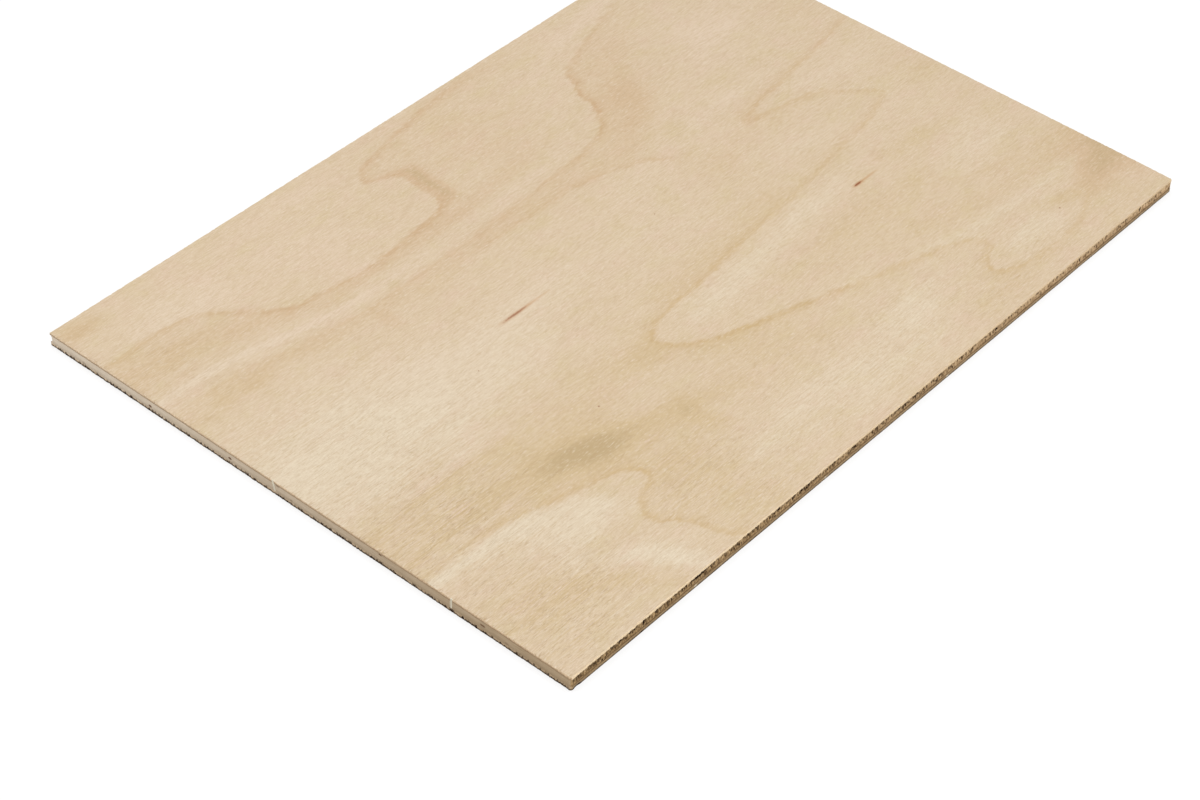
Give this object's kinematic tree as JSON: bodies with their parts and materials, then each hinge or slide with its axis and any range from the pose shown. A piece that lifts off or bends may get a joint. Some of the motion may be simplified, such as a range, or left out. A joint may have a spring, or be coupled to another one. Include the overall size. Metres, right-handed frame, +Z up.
{
  "type": "plywood sheet",
  "caption": "Flat rectangular plywood sheet: thin pale face and back veneers with lengthwise grain, glued to a thicker core veneer whose grain runs across.",
  "frame": {"origin": "middle of the sheet's underside", "axes": "+X across the sheet to its worn long edge, +Y along the sheet and its face grain, away from the nicked end, +Z up through the thickness to the good face"},
  "size_m": [0.21, 0.297, 0.005],
  "materials": {
    "face_wood": "sanded, unfinished",
    "core_wood": "sawn, unfinished",
    "back_wood": "sanded, unfinished"
  },
  "bodies": {
    "root": {"back_veneer": "back_wood", "core_veneer": "core_wood", "face_veneer": "face_wood"}
  },
  "joints": []
}
